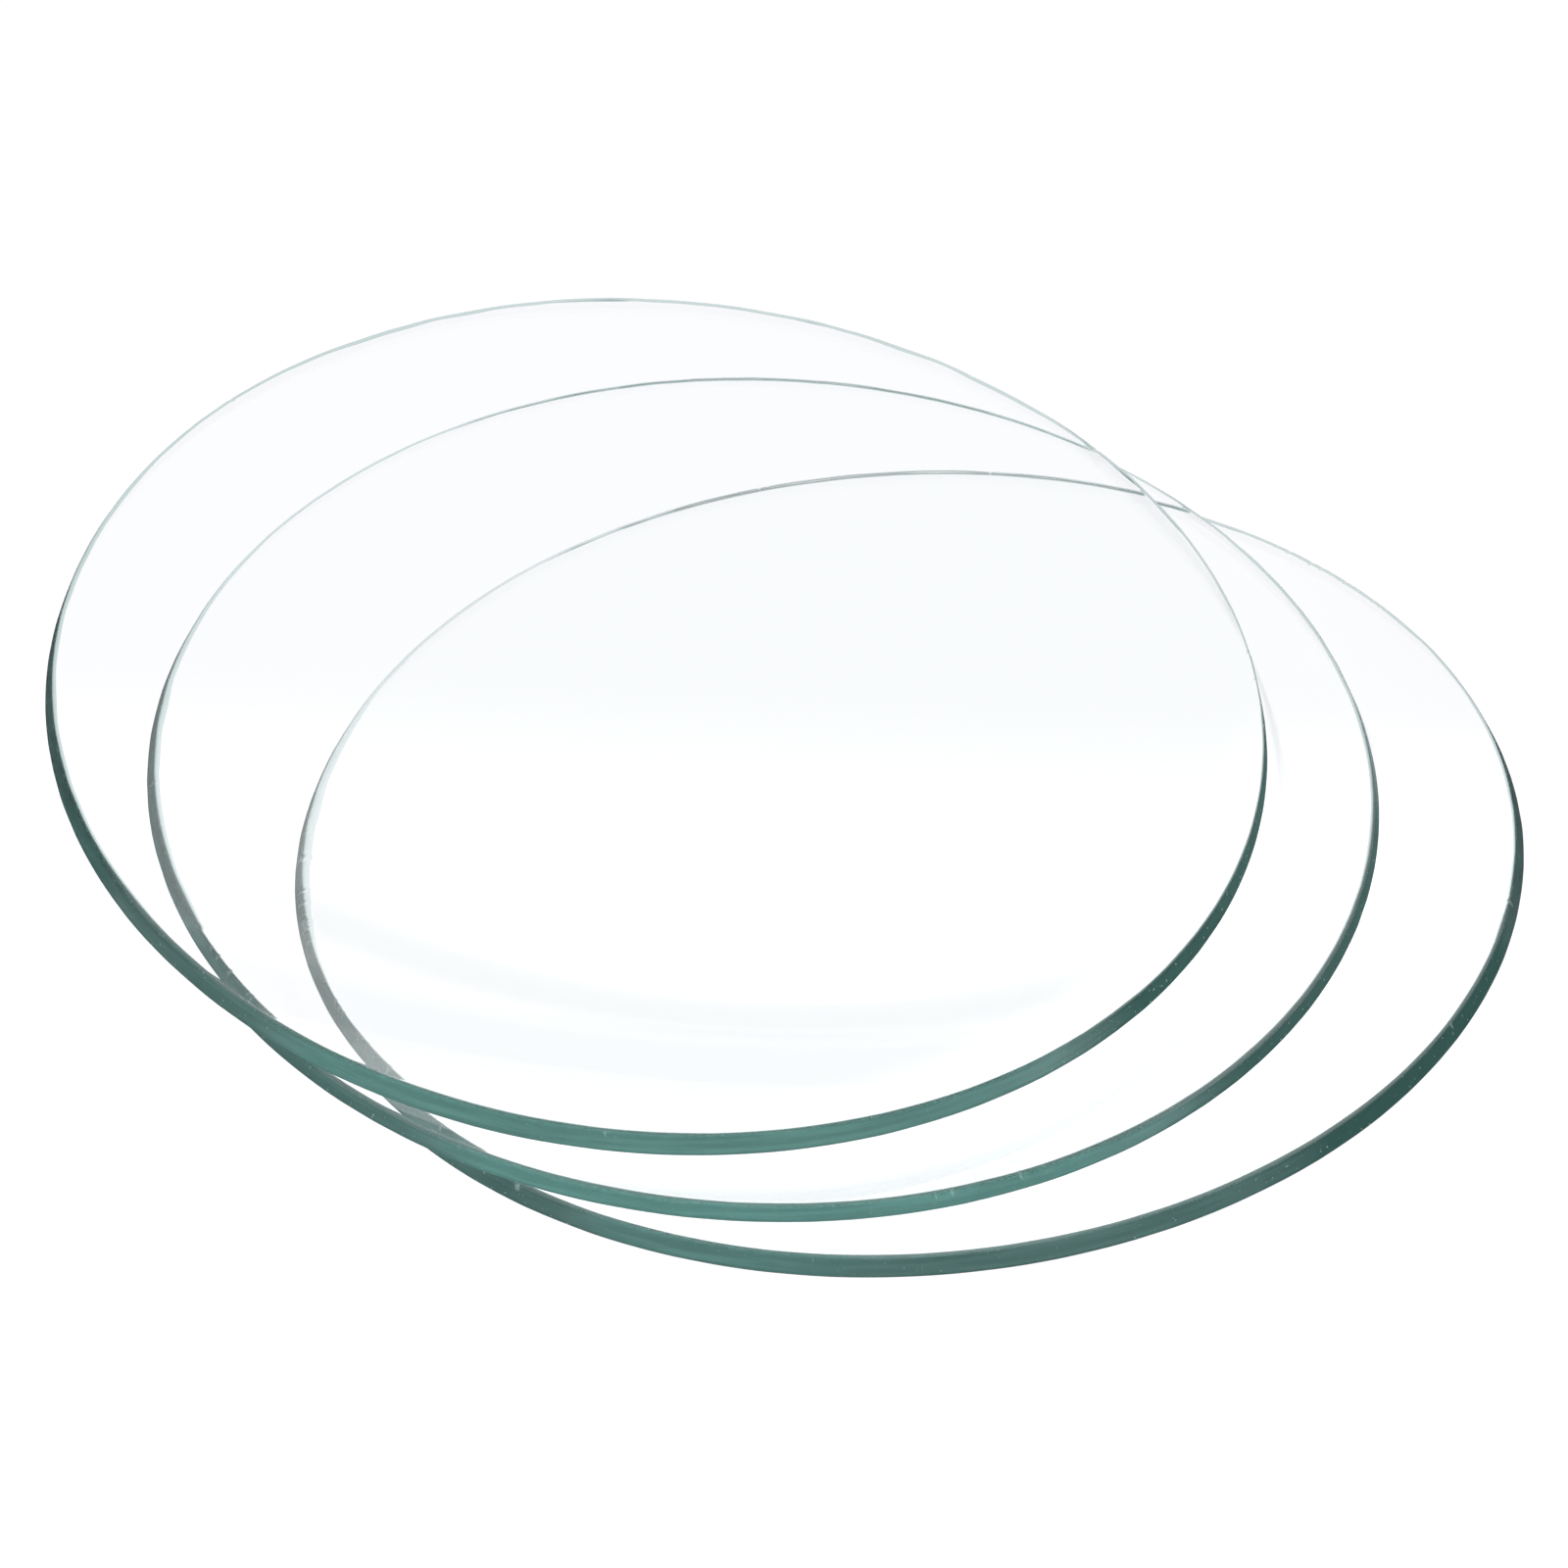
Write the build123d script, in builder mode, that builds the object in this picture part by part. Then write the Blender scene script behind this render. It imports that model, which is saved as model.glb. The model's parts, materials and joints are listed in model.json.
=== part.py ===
from build123d import *
import os
from math import asin, cos, pi, radians, sin, sqrt

# A nest of watch glasses, fanned out so that each one shows. A watch glass is a round piece of
# sheet glass, sagged by heat until it is a shallow part of a sphere, with its edge ground square
# to the sheet and the two sharp corners of that edge bevelled by hand. It stands hollow side up
# on its rounded underside, and the next one stands on its rim, slid a little way across it.
# Sizes are in millimetres and angles in degrees. The origin is the point of the bench that the
# bottom glass touches, +Z is up, and the nest is fanned along X.

# Each glass's diameter is its widest, at the underside of its edge.
BOTTOM_DIAMETER, BOTTOM_SHEET, BOTTOM_BOWL_RADIUS = 98.4, 1.6, 112.0
MIDDLE_DIAMETER, MIDDLE_SHEET, MIDDLE_BOWL_RADIUS = 100.0, 1.35, 112.0
TOP_DIAMETER, TOP_SHEET, TOP_BOWL_RADIUS = 100.2, 1.8, 155.0

BEVEL = 0.12  # what the grinding takes off each corner of an edge, along both of its faces
RESTING_GAP = 0.1  # between a glass's underside and the rim that it stands on

# A glass that slides across the rim below it turns about the centre of its own sphere. Each slide
# is the angle of that turn, and the direction that the glass has gone in, counted from +X.
MIDDLE_SLIDE, MIDDLE_SLIDE_TOWARDS = 7.24, 182.2
TOP_SLIDE, TOP_SLIDE_TOWARDS = 4.05, 177.8


class Glass:
    """The shape of one watch glass: what a cone cuts from between two spheres of one centre."""

    def __init__(self, diameter, sheet, bowl_radius):
        self.bowl_radius = bowl_radius
        self.outer_radius = bowl_radius + sheet
        self.half_angle = asin(diameter / 2 / self.outer_radius)
        # The rim is where the bevel leaves the bowl, and it carries the glass above.
        rim_angle = self.half_angle - BEVEL / bowl_radius
        self.rim_radius = bowl_radius * sin(rim_angle)
        self.rim_drop = bowl_radius * cos(rim_angle)

    def volume(self):
        shell = self.outer_radius**3 - self.bowl_radius**3
        return 2 / 3 * pi * shell * (1 - cos(self.half_angle))

    def centroid_drop(self):
        """How far the glass's centroid lies below the centre of its spheres."""
        shell = self.outer_radius**3 - self.bowl_radius**3
        moment = self.outer_radius**4 - self.bowl_radius**4
        return 3 / 8 * (1 + cos(self.half_angle)) * moment / shell


def rise(lower, upper):
    """How far the upper glass's sphere centre stands above the lower one's, on the lower's rim."""
    reach = upper.outer_radius + RESTING_GAP
    return sqrt(reach**2 - lower.rim_radius**2) - lower.rim_drop


def slid(angle, towards):
    """The turn of a glass that has slid by this angle in this direction."""
    return Rot(Z=towards) * Rot(Y=-angle) * Rot(Z=-towards)


def standing(glasses, places):
    """The lean of the whole nest: its centroid hangs under the bottom glass's sphere centre."""
    moment = Vector(0, 0, 0)
    for glass, place in zip(glasses, places):
        centroid = (place * Pos(0, 0, -glass.centroid_drop())).position
        moment += centroid * glass.volume()
    up = moment.normalized() * -1
    along = (Vector(1, 0, 0) - up * up.X).normalized()
    lean = Plane(origin=(0, 0, 0), x_dir=along, z_dir=up).location.inverse()
    return Pos(0, 0, glasses[0].outer_radius) * lean


def section_plane(place):
    """The plane of a glass's half section: X outwards, Y along its axis, from its sphere centre."""
    upright = Plane(place)
    return Plane(origin=upright.origin, x_dir=upright.x_dir, z_dir=upright.y_dir * -1)


def half_section(glass):
    """The closed outline that is turned about the glass's axis, in the plane of its half section."""
    bowl, outer, edge = glass.bowl_radius, glass.outer_radius, glass.half_angle

    def at(radius, angle):
        return radius * sin(angle), -radius * cos(angle)

    bowl_rim = at(bowl, edge - BEVEL / bowl)
    edge_top, edge_foot = at(bowl + BEVEL, edge), at(outer - BEVEL, edge)
    outer_rim_angle = edge - BEVEL / outer
    outer_rim = at(outer, outer_rim_angle)
    Polyline(at(outer, 0), at(bowl, 0))
    ThreePointArc(at(bowl, 0), at(bowl, edge / 2), bowl_rim)
    Polyline(bowl_rim, edge_top, edge_foot, outer_rim)
    ThreePointArc(outer_rim, at(outer, outer_rim_angle / 2), at(outer, 0))


bottom_shape = Glass(BOTTOM_DIAMETER, BOTTOM_SHEET, BOTTOM_BOWL_RADIUS)
middle_shape = Glass(MIDDLE_DIAMETER, MIDDLE_SHEET, MIDDLE_BOWL_RADIUS)
top_shape = Glass(TOP_DIAMETER, TOP_SHEET, TOP_BOWL_RADIUS)
shapes = (bottom_shape, middle_shape, top_shape)

# Where each glass's sphere centre and axis are, first from the bottom glass, then on the bench.
bottom_in_nest = Location()
middle_in_nest = Pos(0, 0, rise(bottom_shape, middle_shape)) * slid(MIDDLE_SLIDE, MIDDLE_SLIDE_TOWARDS)
top_on_middle = Pos(0, 0, rise(middle_shape, top_shape)) * slid(TOP_SLIDE, TOP_SLIDE_TOWARDS)
nest = (bottom_in_nest, middle_in_nest, middle_in_nest * top_on_middle)
stand = standing(shapes, nest)
bottom_place, middle_place, top_place = (stand * place for place in nest)

with BuildPart() as bottom_glass:
    with BuildSketch(section_plane(bottom_place)):
        with BuildLine():
            half_section(bottom_shape)
        make_face()
    revolve(axis=Axis(bottom_place.position, Plane(bottom_place).z_dir))

with BuildPart() as middle_glass:
    with BuildSketch(section_plane(middle_place)):
        with BuildLine():
            half_section(middle_shape)
        make_face()
    revolve(axis=Axis(middle_place.position, Plane(middle_place).z_dir))

with BuildPart() as top_glass:
    with BuildSketch(section_plane(top_place)):
        with BuildLine():
            half_section(top_shape)
        make_face()
    revolve(axis=Axis(top_place.position, Plane(top_place).z_dir))

os.makedirs("parts", exist_ok=True)
bottom_glass.part.label = "bottom_glass"
middle_glass.part.label = "middle_glass"
top_glass.part.label = "top_glass"
export_step(bottom_glass.part, "parts/bottom_glass.step")
export_step(middle_glass.part, "parts/middle_glass.step")
export_step(top_glass.part, "parts/top_glass.step")
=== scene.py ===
import json
import math
from collections import namedtuple

import bpy
import numpy as np
from mathutils import Matrix, Vector

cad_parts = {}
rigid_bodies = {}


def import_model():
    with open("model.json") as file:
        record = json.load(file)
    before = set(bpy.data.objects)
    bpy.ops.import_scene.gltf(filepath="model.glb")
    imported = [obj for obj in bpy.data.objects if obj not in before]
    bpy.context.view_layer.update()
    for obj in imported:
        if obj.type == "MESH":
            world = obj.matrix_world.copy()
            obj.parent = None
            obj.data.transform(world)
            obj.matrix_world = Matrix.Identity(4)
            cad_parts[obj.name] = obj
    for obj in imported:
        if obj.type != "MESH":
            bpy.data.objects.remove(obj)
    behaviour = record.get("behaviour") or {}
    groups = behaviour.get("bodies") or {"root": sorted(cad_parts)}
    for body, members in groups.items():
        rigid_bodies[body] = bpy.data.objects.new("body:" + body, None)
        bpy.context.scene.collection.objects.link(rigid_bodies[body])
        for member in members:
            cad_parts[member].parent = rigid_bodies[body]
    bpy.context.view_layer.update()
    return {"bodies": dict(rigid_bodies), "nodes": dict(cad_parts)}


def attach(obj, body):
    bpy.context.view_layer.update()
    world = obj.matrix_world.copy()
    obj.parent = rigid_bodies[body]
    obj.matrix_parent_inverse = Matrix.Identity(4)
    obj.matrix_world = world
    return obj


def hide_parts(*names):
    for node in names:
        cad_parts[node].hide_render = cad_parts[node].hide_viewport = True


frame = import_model()

# The looks of a fanned nest of three watch glasses. Each CAD glass is replaced by a finer mesh of
# the same sheet: two polished sphere faces, and a ground edge with bevelled corners.
# Lengths are in metres.

MM = 0.001

# The mesh of one glass
BODY_SEGMENTS = 360  # round the polished faces
EDGE_SEGMENTS = 2880  # round the edge, where the fine detail is
BODY_RINGS = 26
EDGE_ZONE = 1.6 * MM  # the band of each polished face that has the fine segments
FACE_STEPS = (1.0, 0.62, 0.4, 0.25, 0.1)  # shares of that band, from its inside to the edge
TOP_CORNER_ROWS = 6
WALL_ROWS = 4
FOOT_CORNER_ROWS = 4
TOP_ROUNDNESS = 0.9  # 0 for a flat bevel, 1 for a round one
FOOT_ROUNDNESS = 0.3
CREASE = math.radians(24)

# How the sheet sagged
RIPPLE = 0.012 * MM  # unevenness of the faces, always into the sheet
RIPPLE_WAVES = 9
RIPPLE_RATE = 160  # the most radians per metre that a wave turns through

# How its edge was ground
FACETS = 90
FACET_DEPTH = 0.03 * MM  # how far the flats left by the grinding belt cut into the round outline
FACET_SHIFT = 0.35  # of the even spacing between the flats
FACET_SPREAD = (0.8, 1.6)  # half a flat's width, in halves of that spacing
FACET_SHARE = (0.15, 1.0)  # how much of the full depth a flat has, before FACET_POWER
FACET_POWER = 1.5
OUT_OF_ROUND = 0.1 * MM
SLOW_WAVES = range(2, 7)  # how many times the slow waves of the outline go round it
QUICK_WAVES = range(5, 60)  # the same, for the waves of the bevels
BEVEL_WANDER = 0.35  # how much wider than its usual size the bevel round the bowl gets
FOOT_WANDER = 1.0
NARROWEST_WALL = 0.12 * MM

# The chips along the corner round the bowl, from the smallest to the largest
NICK_LENGTH = (0.11 * MM, 0.22 * MM)  # half of it
NICK_DEPTH = (0.03 * MM, 0.12 * MM)

# Angles round an edge are in degrees, from the glass's own X direction. A stretch changes over from
# the usual value to its own within blend, half of it on each side of start and of end.
Stretch = namedtuple("Stretch", "start end blend value")
Chips = namedtuple("Chips", "start end count")
Finish = namedtuple("Finish", "foot_corner corner corners dull chips tint")
# foot_corner: the size of the bevel round the underside
# corner, corners: the usual size of the bevel round the bowl, and where it is wider or narrower
# dull: painted shade, the stretches where the wall is made dark and matt, from 0 to 1. It is set by its
# looks, not by a known cause.
# tint: the green of the glass seen through the ground wall
FINISHES = {
    "top_glass": Finish(
        foot_corner=0.04 * MM,
        corner=0.2 * MM,
        corners=[
            Stretch(62, 256, 16, 0.34 * MM),
            Stretch(80, 168, 20, 0.6 * MM),
            Stretch(-30, 45, 16, 0.13 * MM),
        ],
        dull=[Stretch(250, 273, 10, 0.6), Stretch(-15, 40, 20, 1.0)],
        chips=[Chips(0, 360, 10)],
        tint=(0.44, 0.635, 0.60, 1),
    ),
    "middle_glass": Finish(
        foot_corner=0.04 * MM,
        corner=0.26 * MM,
        corners=[Stretch(206, 246, 20, 0.46 * MM), Stretch(245, 264, 0.8, 0.14 * MM)],
        dull=[Stretch(254, 278, 10, 0.7), Stretch(-18, 36, 22, 0.95)],
        chips=[Chips(246, 262, 9), Chips(0, 360, 8)],
        tint=(0.47, 0.69, 0.66, 1),
    ),
    "bottom_glass": Finish(
        foot_corner=0.05 * MM,
        corner=0.22 * MM,
        corners=[
            Stretch(62, 205, 16, 0.34 * MM),
            Stretch(198, 230, 16, 0.7 * MM),
            Stretch(238, 245.5, 2, 0.14 * MM),
        ],
        dull=[Stretch(264, 277, 8, 0.75), Stretch(300, 342, 12, 0.55), Stretch(-22, 17, 12, 1.0)],
        chips=[Chips(214, 244, 24), Chips(62, 84, 18), Chips(246, 262, 10), Chips(0, 360, 10)],
        tint=(0.39, 0.54, 0.52, 1),
    ),
}


# ---------------------------------------------------------------- the CAD glass that is replaced


class Sheet:
    """The spheres, axis and edge angle of one CAD glass, read from its mesh."""

    def __init__(self, node):
        mesh = frame["nodes"][node].data
        points = np.empty(len(mesh.vertices) * 3)
        mesh.vertices.foreach_get("co", points)
        points = points.reshape(-1, 3)
        self.centre, self.inner, self.outer = fit_two_spheres(points)
        self.axis = (self.centre - mass_centre(mesh, points)).normalized()
        arms = points - np.array(self.centre)
        along = -(arms @ np.array(self.axis)) / np.linalg.norm(arms, axis=1)
        self.edge_angle = math.acos(min(along.min(), 1.0))

    def place(self):
        """The matrix from the glass's own frame, Z along its axis, to the row frame."""
        along = Vector((1, 0, 0))
        along = (along - self.axis * along.dot(self.axis)).normalized()
        turn = Matrix((along, self.axis.cross(along), self.axis)).transposed().to_4x4()
        return Matrix.Translation(self.centre) @ turn


def fit_two_spheres(points):
    """The common centre and the two radii of the spheres that the points lie on."""
    on_outer = np.zeros(len(points), bool)
    for _ in range(4):
        columns = [2 * points, ~on_outer[:, None], on_outer[:, None]]
        system = np.hstack(columns).astype(float)
        if not on_outer.any():
            system = system[:, :4]
        answer = np.linalg.lstsq(system, (points**2).sum(axis=1), rcond=None)[0]
        centre = answer[:3]
        distance = np.linalg.norm(points - centre, axis=1)
        on_outer = distance > (distance.min() + distance.max()) / 2
    return Vector(centre), float(distance.min()), float(distance.max())


def mass_centre(mesh, points):
    """The centre of mass of a closed mesh."""
    mesh.calc_loop_triangles()
    corners = np.empty(len(mesh.loop_triangles) * 3, int)
    mesh.loop_triangles.foreach_get("vertices", corners)
    a, b, c = (points[corners.reshape(-1, 3)[:, i]] for i in range(3))
    volumes = np.einsum("ij,ij->i", a, np.cross(b, c))
    centres = (a + b + c) / 4
    return Vector((centres * volumes[:, None]).sum(axis=0) / volumes.sum())


# ---------------------------------------------------------------- the mesh of one glass

ROUND_THE_EDGE = np.arange(EDGE_SEGMENTS) * 2 * math.pi / EDGE_SEGMENTS


def angle_from(middle):
    """How far round the edge, either way, each of its segments is from an angle."""
    return np.abs((ROUND_THE_EDGE - middle + math.pi) % (2 * math.pi) - math.pi)


def dishes(middles, half_widths, depths):
    """The depth at each edge segment of hollows or flats cut at these angles."""
    cut = np.zeros(EDGE_SEGMENTS)
    for middle, half, deep in zip(middles, half_widths, depths):
        away = angle_from(middle)
        cut = np.maximum(cut, deep * (1 - (away / half) ** 2))
    return cut


def facets(rng, count, depth):
    """The overlapping flats that a grinding belt leaves round the outline."""
    shift = rng.uniform(-FACET_SHIFT, FACET_SHIFT, count)
    middles = (np.arange(count) + shift) * 2 * math.pi / count
    half_widths = rng.uniform(*FACET_SPREAD, count) * math.pi / count
    return dishes(middles, half_widths, depth * rng.uniform(*FACET_SHARE, count) ** FACET_POWER)


def along_edge(usual, stretches):
    """A value at each edge segment: the usual one, except on the given stretches."""
    value = np.full(EDGE_SEGMENTS, usual)
    for stretch in stretches:
        middle = math.radians(stretch.start + stretch.end) / 2
        half = math.radians(stretch.end - stretch.start) / 2
        away = angle_from(middle)
        share = np.clip((half - away) / math.radians(stretch.blend) + 0.5, 0, 1)
        value += (stretch.value - value) * share * share * (3 - 2 * share)
    return value


def nicks(rng, chips, radius):
    """Small shell-shaped chips, thicker on some stretches of the corner than on others."""
    middles = np.concatenate([np.radians(rng.uniform(c.start, c.end, c.count)) for c in chips])
    share = rng.uniform(0, 1, len(middles)) ** 2  # squared, because most chips are small
    half_lengths = NICK_LENGTH[0] + (NICK_LENGTH[1] - NICK_LENGTH[0]) * share
    depths = NICK_DEPTH[0] + (NICK_DEPTH[1] - NICK_DEPTH[0]) * share
    return dishes(middles, half_lengths / radius, depths)


def smooth_wander(rng, harmonics, size):
    """A slow random wave round the edge, from 0 to size."""
    wave = np.zeros(EDGE_SEGMENTS)
    for n in harmonics:
        wave += np.cos(n * ROUND_THE_EDGE + rng.uniform(0, 2 * math.pi)) / math.sqrt(n)
    wave -= wave.min()
    return size * wave / wave.max()


def corner(size, roundness, rows):
    """For each row over a corner, how far it is from the face and from the wall."""
    for k in range(rows):
        share = k / (rows - 1)
        turn = share * math.pi / 2
        from_face = share * (1 - roundness) + (1 - math.cos(turn)) * roundness
        from_wall = (1 - share) * (1 - roundness) + (1 - math.sin(turn)) * roundness
        yield size * from_face, size * from_wall


class GlassMesh:
    """Collects the rows of vertices from the bowl's centre, over the edge, to the underside's centre.

    Each vertex has a place in mm (across the edge for Z), how clean the glass is there, with its partly
    painted highlight, and how much painted shade it has.
    """

    def __init__(self, sheet, rng):
        self.sheet = sheet
        self.waves = rng.uniform(-1, 1, (RIPPLE_WAVES, 2)) * RIPPLE_RATE
        self.phases = rng.uniform(0, 2 * math.pi, RIPPLE_WAVES)
        self.points = []
        self.places = []
        self.clean = []
        self.dull = []
        self.faces = []
        self.ground = []

    def ripple(self, x, y, angle):
        """How far a face dips into the sheet, fading out at the edge."""
        waves = sum(np.cos(a * x + b * y + p) for (a, b), p in zip(self.waves, self.phases))
        share = 0.5 + waves / (2 * RIPPLE_WAVES)
        return RIPPLE * share * (1 - (angle / self.sheet.edge_angle) ** 4)

    def row(self, radius, angle, segments, across=0.0, clean=0.0, dull=0.0):
        """Adds a row at these distances from the sphere centre and angles from the axis."""
        turn = np.arange(segments) * 2 * math.pi / segments
        radius = np.broadcast_to(radius, segments).astype(float)
        angle = np.broadcast_to(angle, segments)
        if segments == BODY_SEGMENTS:
            into_sheet = 1 if radius[0] == self.sheet.inner else -1
            flat = radius * np.sin(angle)
            dip = self.ripple(flat * np.cos(turn), flat * np.sin(turn), angle)
            radius = radius + into_sheet * np.maximum(dip, 0)
        flat = radius * np.sin(angle)
        x, y = flat * np.cos(turn), flat * np.sin(turn)
        first = len(self.points)
        self.points += zip(x, y, -radius * np.cos(angle))
        self.places += zip(x / MM, y / MM, np.broadcast_to(across / MM, segments))
        self.clean += list(np.broadcast_to(clean, segments))
        self.dull += list(np.broadcast_to(dull, segments))
        return range(first, first + segments)

    def centre(self, radius):
        """Adds the vertex in the middle of a face."""
        self.points.append((0.0, 0.0, -radius))
        self.places.append((0.0, 0.0, 0.0))
        self.clean.append(0.0)
        self.dull.append(0.0)
        return len(self.points) - 1

    def face(self, corners, ground=False):
        self.faces.append(corners)
        self.ground.append(ground)

    def strip(self, inner, outer, ground=False, flip=False):
        """Joins two rows. The outer one may have a whole, even number of times as many vertices."""
        ratio = len(outer) // len(inner)
        for i in range(len(inner)):
            j = (i + 1) % len(inner)
            fine = [outer[(i * ratio + k) % len(outer)] for k in range(ratio + 1)]
            if ratio == 1:
                joined = [(inner[i], *fine, inner[j])]
            else:
                half = ratio // 2
                joined = [(inner[i], fine[k], fine[k + 1]) for k in range(half)]
                joined.append((inner[i], fine[half], inner[j]))
                joined += [(inner[j], fine[k], fine[k + 1]) for k in range(half, ratio)]
            for corners in joined:
                self.face(corners[::-1] if flip else corners, ground)

    def strips(self, rows, ground=False, flip=False):
        """Joins each row to the next."""
        for a, b in zip(rows, rows[1:]):
            self.strip(a, b, ground, flip)

    def fan(self, centre, ring, flip=False):
        """Joins the middle of a face to its first row."""
        for i in range(len(ring)):
            corners = [centre, ring[i], ring[(i + 1) % len(ring)]]
            self.face(corners[::-1] if flip else corners)

    def polished_face(self, radius, rim, flip=False):
        """One of the two sphere faces, out to the rim's angle. Returns its last row."""
        body_edge = (rim - EDGE_ZONE / radius).reshape(BODY_SEGMENTS, -1)[:, 0]
        shares = [(k + 1) / (BODY_RINGS + 1) for k in range(BODY_RINGS)]
        body = [self.row(radius, body_edge * s, BODY_SEGMENTS) for s in shares]
        zone = [self.row(radius, rim - EDGE_ZONE * s / radius, EDGE_SEGMENTS) for s in FACE_STEPS]
        zone.append(self.row(radius, rim, EDGE_SEGMENTS, clean=1.0))
        self.fan(self.centre(radius), body[0], flip)
        self.strips(body + zone, flip=flip)
        return zone[-1]

    def edge(self, top_row, foot_row, edge, top_corner, foot_corner, nick, dull):
        """The ground wall between the two faces, with its corners."""
        sheet = self.sheet
        rows = [top_row]
        thickness = sheet.outer - sheet.inner

        def add_row(across, inset, clean=0.0):
            radius = sheet.inner + across
            angle = edge - inset / radius
            rows.append(self.row(radius, angle, EDGE_SEGMENTS, across, clean, dull))

        for k, (across, inset) in enumerate(corner(top_corner, TOP_ROUNDNESS, TOP_CORNER_ROWS)):
            if k > 0:
                add_row(across, inset, np.maximum(1 - k / (TOP_CORNER_ROWS - 1), nick))
        for k in range(1, WALL_ROWS - 1):
            share = k / (WALL_ROWS - 1)
            add_row(top_corner * (1 - share) + (thickness - foot_corner) * share, 0.0)
        for up, inset in list(corner(foot_corner, FOOT_ROUNDNESS, FOOT_CORNER_ROWS))[:0:-1]:
            add_row(thickness - up, inset)
        rows.append(foot_row)
        self.strips(rows, ground=True)


def shape_glass(sheet, finish, rng):
    """The rows and faces of one glass, in its own frame."""
    outline = facets(rng, FACETS, FACET_DEPTH) + smooth_wander(rng, SLOW_WAVES, OUT_OF_ROUND)
    edge = sheet.edge_angle - outline / sheet.outer
    chipped = nicks(rng, finish.chips, sheet.inner * math.sin(sheet.edge_angle))
    usual_bevel = along_edge(finish.corner, finish.corners)
    bevel = usual_bevel * (1 + smooth_wander(rng, QUICK_WAVES, BEVEL_WANDER))
    foot_corner = finish.foot_corner * (1 + smooth_wander(rng, QUICK_WAVES, FOOT_WANDER))
    widest = sheet.outer - sheet.inner - foot_corner - NARROWEST_WALL
    top_corner = np.minimum(bevel + chipped, widest)
    made = GlassMesh(sheet, rng)
    top_row = made.polished_face(sheet.inner, edge - top_corner / sheet.inner)
    foot_row = made.polished_face(sheet.outer, edge - foot_corner / sheet.outer, flip=True)
    nick = np.minimum(chipped / NICK_DEPTH[0], 1.0)
    # painted shade: the stretches of the wall that are painted dark
    dull = along_edge(0.0, finish.dull)
    made.edge(top_row, foot_row, edge, top_corner, foot_corner, nick, dull)
    return made


def build_glass(name, sheet, finish, seed):
    """One glass as an object, in place on its CAD sheet."""
    made = shape_glass(sheet, finish, np.random.default_rng(seed))
    mesh = bpy.data.meshes.new(name)
    mesh.from_pydata(made.points, [], made.faces)
    mesh.polygons.foreach_set("material_index", np.array(made.ground, int))
    mesh.polygons.foreach_set("use_smooth", np.ones(len(made.faces), bool))
    place = mesh.attributes.new("edge_place", "FLOAT_VECTOR", "POINT")
    place.data.foreach_set("vector", np.array(made.places).ravel())
    for how, values in (("clean", made.clean), ("dull", made.dull)):
        stored = mesh.attributes.new(how, "FLOAT", "POINT")
        stored.data.foreach_set("value", np.array(values))
    mesh.set_sharp_from_angle(angle=CREASE)
    mesh.transform(sheet.place())
    mesh.update()
    glass = bpy.data.objects.new(name, mesh)
    bpy.context.scene.collection.objects.link(glass)
    return glass


# ---------------------------------------------------------------- materials

GLASS_IOR = 1.52
ABSORPTION_COLOUR = (0.0, 0.41, 0.36, 1.0)
ABSORPTION_DENSITY = 11.0

# The polished faces
SCRATCH_SCALE = 60.0  # of the cells whose sides are the scratches, per metre
SCRATCH_WIDTH = 0.006
SCRATCH_ROUGHNESS = 0.12
WORN_SCALE = 45.0  # of the patches that have scratches, per metre
WORN = (0.58, 0.7)  # the range of that noise where they come in

# The ground edge. Its noises are scaled per mm.
GROUND_GLOSS = (0.0, 0.0, 0.0, 1)  # it mirrors nothing head on
STREAK_SCALE = (0.1, 0.1, 1.7)  # of the streaks' noise, in the glass's plane and across the edge
STREAKS = (0.34, 0.66)  # the range of that noise from a dark streak to a light one
STREAK_SHADE = 0.62  # the dark streaks' share of the tint
STREAK_ROUGHNESS = (0.24, 0.36)
GRAIN_SCALE = 7.0
GRAIN_ROUGHNESS = 0.4  # where the grain is strongest, whatever the streaks do
GRAIN_HEIGHT = 0.7  # the same, for the height
# Painted shade: the wall is darker towards its foot
FOOT_PAINTED_SHADE_SPAN = (0.3, 0.08)  # mm from the foot of the wall where its painted shade starts and is darkest
FOOT_PAINTED_SHADE = 0.5  # the colour at the foot as a share of the tint: painted shade
# Painted shade: the dark colour of the marked stretches of wall, and how little light they let through
PAINTED_SHADE_COLOUR = (0.065, 0.16, 0.142, 1)
PAINTED_SHADE_CLEARNESS = 0.12  # how much of the surface still lets light through, here and in the next ones
PIT_SCALE = 3.2
PITS = (0.68, 0.72)  # the range of that noise from sound glass to a pit
PIT_COLOUR = (0.75, 0.82, 0.8, 1)
PIT_CLEARNESS = 0.7
# The corner round the bowl and the chips: lightly ground and milky, and paler as a painted highlight along
# the arris
CORNER_MILKY_HIGHLIGHT_COLOUR = (0.85, 0.9, 0.89, 1)
CORNER_CLEARNESS = 0.76
CORNER_ROUGHNESS = 0.1
CLEAN_IS_SMOOTH = 0.5  # the glass has no bumps where it is cleaner than this
GROUND_BUMP = 0.15
GROUND_BUMP_HEIGHT = 0.02 * MM


def new_material(name):
    """A material without nodes, and its node tree."""
    material = bpy.data.materials.new(name)
    material.use_nodes = True
    material.node_tree.nodes.clear()
    return material, material.node_tree


def add(tree, kind, **settings):
    """Adds a node. A setting is one of its properties, or the value or source of one of its inputs."""
    node = tree.nodes.new(kind)
    for key, value in settings.items():
        if hasattr(node, key):
            setattr(node, key, value)
            continue
        socket = node.inputs[key.replace("_", " ")]
        if isinstance(value, bpy.types.NodeSocket):
            tree.links.new(value, socket)
        else:
            socket.default_value = value
    return node


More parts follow.
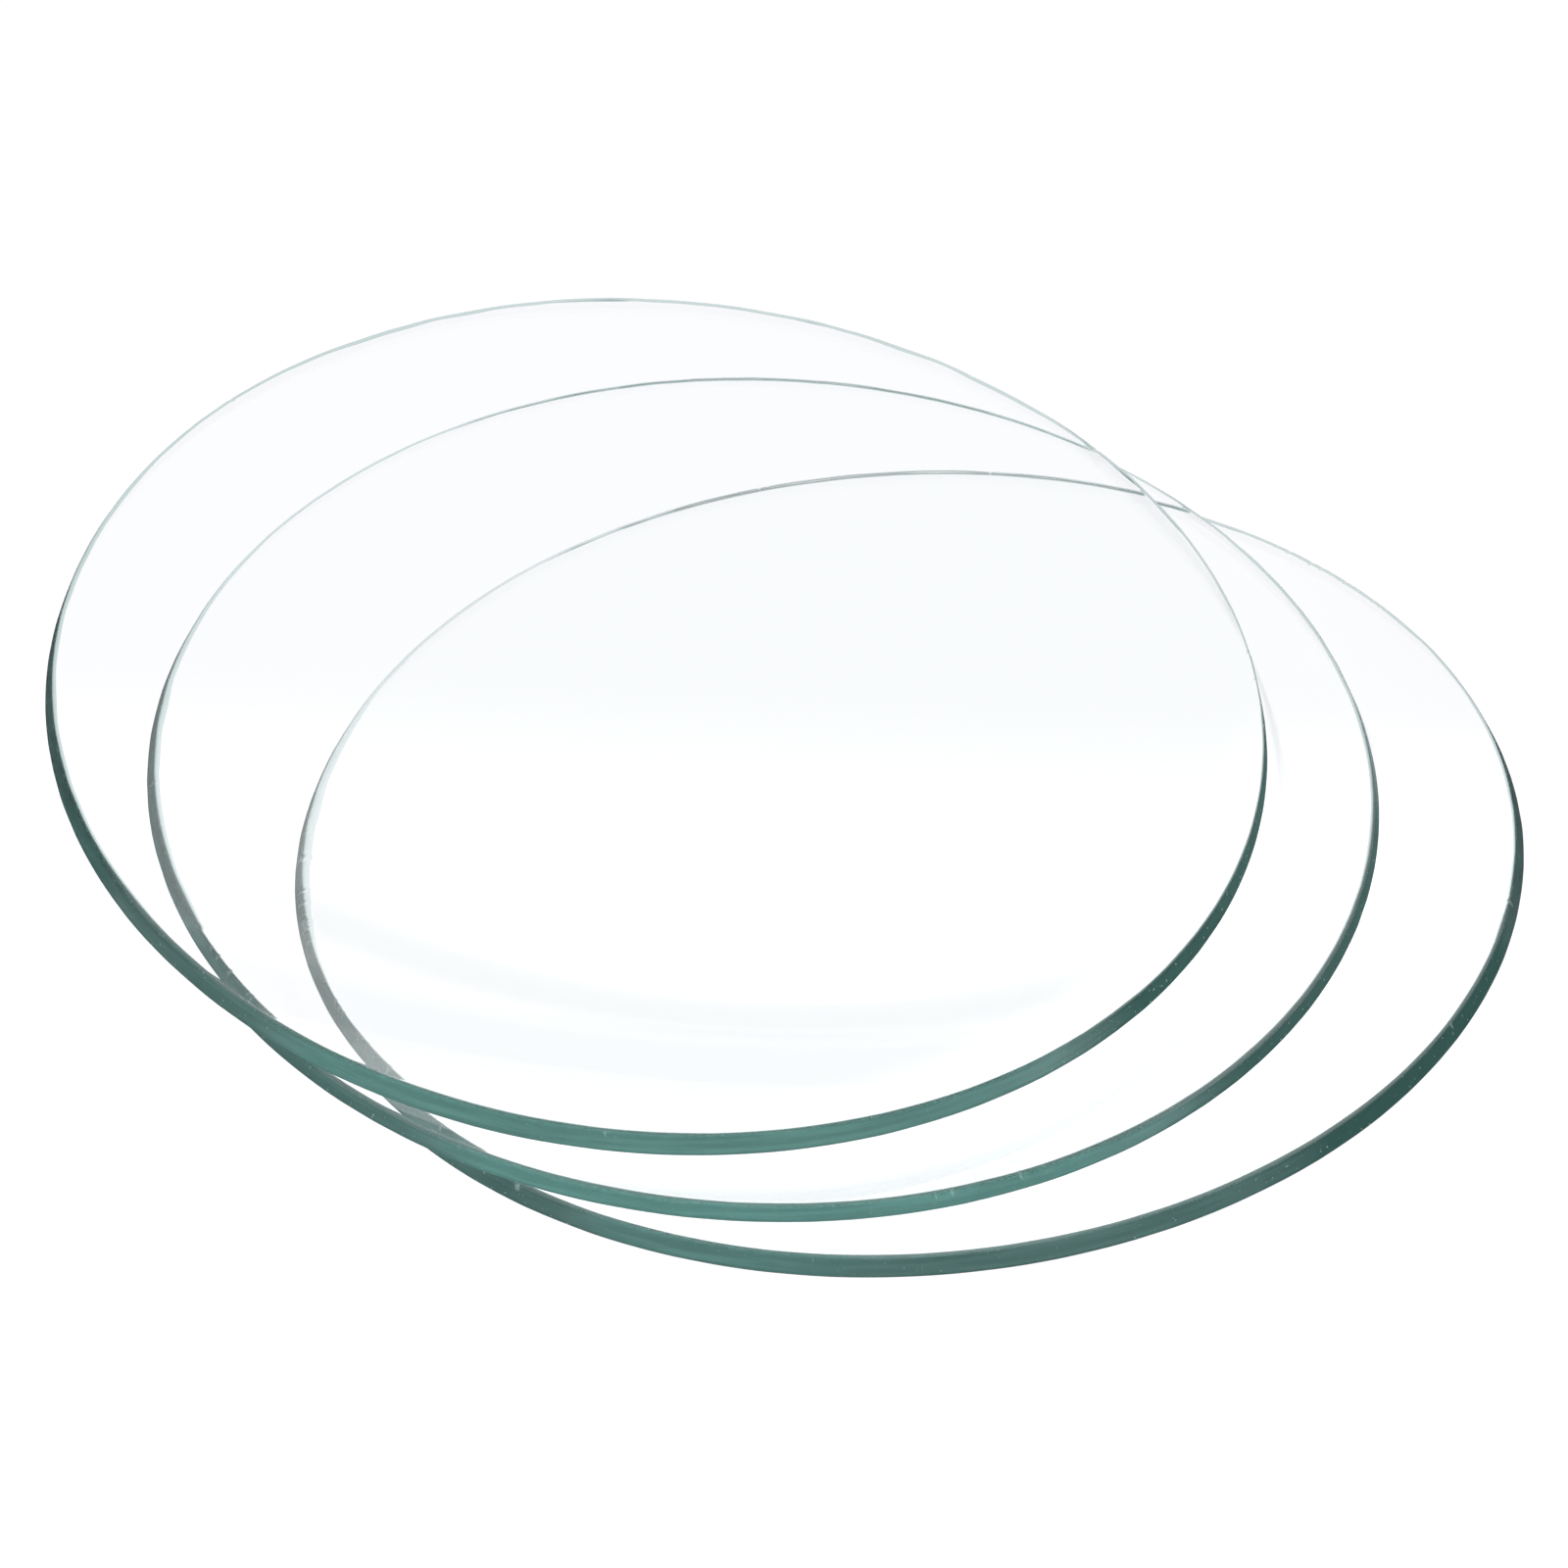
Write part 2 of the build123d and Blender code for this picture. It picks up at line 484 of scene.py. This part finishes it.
def span(tree, value, low, high, to_low, to_high):
    """value moved from one range to another, smoothly and no further than its ends."""
    node = add(tree, "ShaderNodeMapRange", interpolation_type="SMOOTHSTEP")
    tree.links.new(value, node.inputs["Value"])
    for key, number in (("From Min", low), ("From Max", high), ("To Min", to_low), ("To Max", to_high)):
        node.inputs[key].default_value = number
    return node.outputs["Result"]


def mixed(tree, factor, a, b):
    """A colour or number between a and b. a and b are sockets or values."""
    kind = "FLOAT" if isinstance(a, (int, float)) or getattr(a, "type", "") == "VALUE" else "RGBA"
    node = add(tree, "ShaderNodeMix", data_type=kind)
    places = {"FLOAT": (2, 3, 0), "RGBA": (6, 7, 2)}[kind]
    tree.links.new(factor, node.inputs[0])
    for place, value in zip(places, (a, b)):
        if isinstance(value, bpy.types.NodeSocket):
            tree.links.new(value, node.inputs[place])
        else:
            node.inputs[place].default_value = value
    return node.outputs[places[2]]


def product(tree, a, b):
    """Two numbers multiplied."""
    node = add(tree, "ShaderNodeMath", operation="MULTIPLY")
    tree.links.new(a, node.inputs[0])
    tree.links.new(b, node.inputs[1])
    return node.outputs[0]


def reach(tree, where, direction):
    """How far a point lies in a direction."""
    node = add(tree, "ShaderNodeVectorMath", operation="DOT_PRODUCT")
    tree.links.new(where, node.inputs[0])
    node.inputs[1].default_value = direction
    return node.outputs["Value"]


def noise(tree, where, scale, detail):
    """Smooth noise, mostly from 0.3 to 0.7."""
    return add(tree, "ShaderNodeTexNoise", Vector=where, Scale=scale, Detail=detail).outputs[0]


def mark(tree, name):
    """The node of a value that the mesh has at each vertex."""
    return add(tree, "ShaderNodeAttribute", attribute_name=name)


def shaded(colour, factor):
    """A darker colour."""
    return tuple(c * factor for c in colour[:3]) + (1,)


def glass_shader(tree):
    """A clear glass surface with the green of the sheet's own depth behind it."""
    shader = add(tree, "ShaderNodeBsdfPrincipled")
    shader.inputs["Base Color"].default_value = (1, 1, 1, 1)
    shader.inputs["Transmission Weight"].default_value = 1.0
    shader.inputs["IOR"].default_value = GLASS_IOR
    inside = add(tree, "ShaderNodeVolumeAbsorption")
    inside.inputs["Color"].default_value = ABSORPTION_COLOUR
    inside.inputs["Density"].default_value = ABSORPTION_DENSITY
    out = add(tree, "ShaderNodeOutputMaterial")
    tree.links.new(shader.outputs[0], out.inputs["Surface"])
    tree.links.new(inside.outputs[0], out.inputs["Volume"])
    return shader


def polished_glass():
    """The two faces: clear, with hair-fine wiping scratches."""
    material, tree = new_material("polished_glass")
    shader = glass_shader(tree)
    where = add(tree, "ShaderNodeTexCoord").outputs["Object"]
    cells = add(tree, "ShaderNodeTexVoronoi", feature="DISTANCE_TO_EDGE", Vector=where, Scale=SCRATCH_SCALE)
    patches = noise(tree, where, WORN_SCALE, 2.0)
    line = span(tree, cells.outputs["Distance"], 0.0, SCRATCH_WIDTH, 1.0, 0.0)
    worn = span(tree, patches, *WORN, 0.0, 1.0)
    scratches = span(tree, product(tree, line, worn), 0.0, 1.0, 0.0, SCRATCH_ROUGHNESS)
    tree.links.new(scratches, shader.inputs["Roughness"])
    return material


def ground_glass(name, tint, thickness):
    """The edge: satin, with streaks along it from the belt, fine grain and pits.

    Its corner round the bowl and the chips are clean: smoother and slightly milky, and paler, which is
    partly a painted highlight. Painted shade darkens the foot of the wall and some stretches of it.
    """
    material, tree = new_material(name)
    shader = glass_shader(tree)
    place = mark(tree, "edge_place").outputs["Vector"]
    clean = mark(tree, "clean").outputs["Fac"]
    dull = mark(tree, "dull").outputs["Fac"]
    across = add(tree, "ShaderNodeSeparateXYZ", Vector=place).outputs["Z"]
    along = add(tree, "ShaderNodeVectorMath", operation="MULTIPLY")
    tree.links.new(place, along.inputs[0])
    along.inputs[1].default_value = STREAK_SCALE
    streaks = noise(tree, along.outputs[0], 1.0, 2.0)
    grain = noise(tree, place, GRAIN_SCALE, 2.0)
    pits = span(tree, noise(tree, place, PIT_SCALE, 3.0), *PITS, 0.0, 1.0)
    painted_foot_shade = span(tree, across, thickness - FOOT_PAINTED_SHADE_SPAN[0], thickness - FOOT_PAINTED_SHADE_SPAN[1], 0.0, 1.0)

    colour = mixed(tree, span(tree, streaks, *STREAKS, 0.0, 1.0), shaded(tint, STREAK_SHADE), tint)
    # painted shade: darker towards the foot of the wall
    colour = mixed(tree, painted_foot_shade, colour, shaded(tint, FOOT_PAINTED_SHADE))
    # painted shade on the marked stretches of the wall
    colour = mixed(tree, dull, colour, PAINTED_SHADE_COLOUR)
    colour = mixed(tree, pits, colour, PIT_COLOUR)
    # the corner and the chips paler: partly milky glass, partly a painted highlight
    tree.links.new(mixed(tree, clean, colour, CORNER_MILKY_HIGHLIGHT_COLOUR), shader.inputs["Base Color"])

    satin = mixed(tree, grain, span(tree, streaks, *STREAKS, *STREAK_ROUGHNESS), GRAIN_ROUGHNESS)
    tree.links.new(mixed(tree, clean, satin, CORNER_ROUGHNESS), shader.inputs["Roughness"])
    shader.inputs["Specular Tint"].default_value = GROUND_GLOSS
    shader.inputs["Specular IOR Level"].default_value = 0.0

    # the painted-shade stretches let little light through, so their dark colour shows
    clear = mixed(tree, dull, 1.0, PAINTED_SHADE_CLEARNESS)
    clear = mixed(tree, pits, clear, PIT_CLEARNESS)
    tree.links.new(mixed(tree, clean, clear, CORNER_CLEARNESS), shader.inputs["Transmission Weight"])

    height = mixed(tree, grain, streaks, GRAIN_HEIGHT)
    bump = add(tree, "ShaderNodeBump", Height=height, Distance=GROUND_BUMP_HEIGHT)
    tree.links.new(span(tree, clean, 0.0, CLEAN_IS_SMOOTH, GROUND_BUMP, 0.0), bump.inputs["Strength"])
    tree.links.new(bump.outputs[0], shader.inputs["Normal"])
    return material


# ---------------------------------------------------------------- the three glasses

FIRST_SEED = 11

polished = polished_glass()
for seed, node in enumerate(sorted(frame["nodes"]), FIRST_SEED):
    finish = FINISHES[node]
    sheet = Sheet(node)
    glass = build_glass(node + "_finished", sheet, finish, seed)
    glass.data.materials.append(polished)
    thickness = (sheet.outer - sheet.inner) / MM
    glass.data.materials.append(ground_glass(node + "_ground_edge", finish.tint, thickness))
    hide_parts(node)
    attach(glass, next(b for b, o in frame["bodies"].items() if frame["nodes"][node].parent == o))

# ---------------------------------------------------------------- the studio

CAMERA_AZIMUTH = 33.97  # degrees, anticlockwise from -Y
CAMERA_RIGHT = (math.cos(math.radians(CAMERA_AZIMUTH)), math.sin(math.radians(CAMERA_AZIMUTH)), 0)
AWAY = (-CAMERA_RIGHT[1], CAMERA_RIGHT[0], 0)  # level, away from the camera

FLOOR_SIZE = 12.0
FLOOR_DROP = 0.2 * MM  # of the first layer of the floor, and from each layer to the next
FLOOR_LIGHT = (1.06, 1.03, 1.05, 1)  # as the camera sees it
THROUGH_LIGHT = (0.995, 0.99, 1.012, 1)  # as it shows through the glasses and is mirrored in them

# Through the glasses the floor is brighter towards the camera, and brighter again there outside a
# circle, which is about the top glass's outline. This suits the resting nest, seen by this camera.
POOL_CENTRE = (-13 * MM, 22 * MM)  # of the circle, along CAMERA_RIGHT and AWAY
POOL_RIM = (51 * MM, 57 * MM)  # the light changes over between these distances from it
POOL_RIM_LIGHT = 1.2
POOL_FRONT = (-2 * MM, 28 * MM)  # the light towards the camera fades out between these distances away
POOL_FRONT_LIGHT = 1.12

MIRRORED_FROM = (50 * MM, 90 * MM)  # the mirrored floor brightens between these distances away
MIRRORED_NEAR = 0.12  # its brightness nearer than that

KEY_TILT = 32.0  # how far above the horizon the middle of the bright half of the tent is
BEHIND = (0.1, 0.42)  # the cosines of the angle from there at which the light starts and is full
BACKDROP_LIGHT = 1.04  # where it is full
CAMERA_SIDE_LIGHT = 0.35
ASIDE = (0.45, 0.7)  # how far to either side, out of 1, the tent starts to darken and is darkest
SIDE_LIGHT = 0.2
TENT_COLOUR = (1, 1, 1.01, 1)

# A dim gap between the backdrop and the light above it, from 20.3 to 24.4 degrees above the horizon
GAP = (math.sin(math.radians(20.3)), math.sin(math.radians(24.4)))
GAP_BLEND = 0.006
GAP_LIGHT = 0.5  # its share of the light around it


def ground_plane(name, drop, colour):
    """A square of glowing floor below the object, its material's tree and its emission node."""
    half = FLOOR_SIZE / 2
    corners = [(-half, -half, 0), (half, -half, 0), (half, half, 0), (-half, half, 0)]
    mesh = bpy.data.meshes.new(name)
    mesh.from_pydata(corners, [], [(0, 1, 2, 3)])
    plane = bpy.data.objects.new(name, mesh)
    plane.location.z = -drop
    bpy.context.scene.collection.objects.link(plane)
    material, tree = new_material(name)
    light = add(tree, "ShaderNodeEmission", Color=colour)
    add(tree, "ShaderNodeOutputMaterial", Surface=light.outputs[0])
    mesh.materials.append(material)
    return plane, tree, light


def pool_light(tree):
    """The brightness of the floor that shows through the glasses."""
    where = add(tree, "ShaderNodeTexCoord").outputs["Object"]
    to_centre = add(tree, "ShaderNodeVectorMath", operation="DISTANCE")
    tree.links.new(where, to_centre.inputs[0])
    centre = [r * POOL_CENTRE[0] + a * POOL_CENTRE[1] for r, a in zip(CAMERA_RIGHT, AWAY)]
    to_centre.inputs[1].default_value = centre
    outside = span(tree, to_centre.outputs["Value"], *POOL_RIM, 0.0, 1.0)
    front = span(tree, reach(tree, where, AWAY), *POOL_FRONT, 1.0, 0.0)
    rim_light = span(tree, product(tree, outside, front), 0.0, 1.0, 1.0, POOL_RIM_LIGHT)
    return product(tree, rim_light, span(tree, front, 0.0, 1.0, 1.0, POOL_FRONT_LIGHT))


def lit_floor():
    """A pale light table, in three layers: as the camera sees it, through the glass, and mirrored in it."""
    floor = ground_plane("floor", FLOOR_DROP, FLOOR_LIGHT)[0]
    floor.visible_glossy = floor.visible_transmission = floor.visible_diffuse = False

    through, tree, light = ground_plane("floor_through_glass", 2 * FLOOR_DROP, THROUGH_LIGHT)
    through.visible_camera = through.visible_glossy = False
    tree.links.new(pool_light(tree), light.inputs["Strength"])

    mirrored, tree, light = ground_plane("floor_mirrored", 3 * FLOOR_DROP, THROUGH_LIGHT)
    mirrored.visible_camera = mirrored.visible_transmission = mirrored.visible_diffuse = False
    where = add(tree, "ShaderNodeTexCoord").outputs["Object"]
    beyond = span(tree, reach(tree, where, AWAY), *MIRRORED_FROM, MIRRORED_NEAR, 1.0)
    tree.links.new(beyond, light.inputs["Strength"])


def tent():
    """Soft light from behind and above. The camera's side of the room and its sides are dim."""
    world = bpy.data.worlds.new("tent")
    world.use_nodes = True
    tree = world.node_tree
    where = add(tree, "ShaderNodeTexCoord").outputs["Generated"]
    level, rise = math.cos(math.radians(KEY_TILT)), math.sin(math.radians(KEY_TILT))
    behind = reach(tree, where, (AWAY[0] * level, AWAY[1] * level, rise))
    aside = add(tree, "ShaderNodeMath", operation="ABSOLUTE")
    tree.links.new(reach(tree, where, CAMERA_RIGHT), aside.inputs[0])
    light_behind = span(tree, behind, *BEHIND, CAMERA_SIDE_LIGHT, BACKDROP_LIGHT)
    light = product(tree, light_behind, span(tree, aside.outputs[0], *ASIDE, 1.0, SIDE_LIGHT))
    up = reach(tree, where, (0, 0, 1))
    above = span(tree, up, GAP[0] - GAP_BLEND, GAP[0] + GAP_BLEND, 0.0, 1.0)
    below = span(tree, up, GAP[1] - GAP_BLEND, GAP[1] + GAP_BLEND, 1.0, 0.0)
    light = product(tree, light, span(tree, product(tree, above, below), 0.0, 1.0, 1.0, GAP_LIGHT))
    tree.nodes["Background"].inputs["Color"].default_value = TENT_COLOUR
    tree.links.new(light, tree.nodes["Background"].inputs["Strength"])
    bpy.context.scene.world = world


lit_floor()
tent()

# Light crosses up to six faces and runs along inside the sheets, so its paths are long.
GLASS_BOUNCES = 96

scene = bpy.context.scene
scene.view_settings.view_transform = "Standard"
scene.cycles.max_bounces = GLASS_BOUNCES
scene.cycles.transmission_bounces = GLASS_BOUNCES
scene.cycles.glossy_bounces = GLASS_BOUNCES
scene.cycles.diffuse_bounces = 4
scene.cycles.blur_glossy = 0.0

# ---------------------------------------------------------------- the camera

CAMERA_ELEVATION = 42.57
CAMERA_ROLL = -2.31
CAMERA_DISTANCE = 0.2898
CAMERA_LENS = 81.0
CAMERA_NEAREST = 0.01
TARGET_HEIGHT = 10 * MM
TARGET_SHIFT = (1.11 * MM, 0.06 * MM)  # right and down, in the picture


def aim_camera():
    """The camera, in front of the nest and above it."""
    elevation = math.radians(CAMERA_ELEVATION)
    back = Vector((0, 0, math.sin(elevation))) - Vector(AWAY) * math.cos(elevation)
    level = Vector(CAMERA_RIGHT)
    upright = back.cross(level)
    roll = math.radians(CAMERA_ROLL)
    right = level * math.cos(roll) - upright * math.sin(roll)
    up = level * math.sin(roll) + upright * math.cos(roll)
    target = Vector((0, 0, TARGET_HEIGHT)) + right * TARGET_SHIFT[0] - up * TARGET_SHIFT[1]
    turn = Matrix((right, up, back)).transposed().to_4x4()
    camera = bpy.data.objects.new("camera", bpy.data.cameras.new("camera"))
    camera.matrix_world = Matrix.Translation(target + back * CAMERA_DISTANCE) @ turn
    camera.data.lens = CAMERA_LENS
    camera.data.clip_start = CAMERA_NEAREST
    bpy.context.scene.collection.objects.link(camera)
    bpy.context.scene.camera = camera


aim_camera()
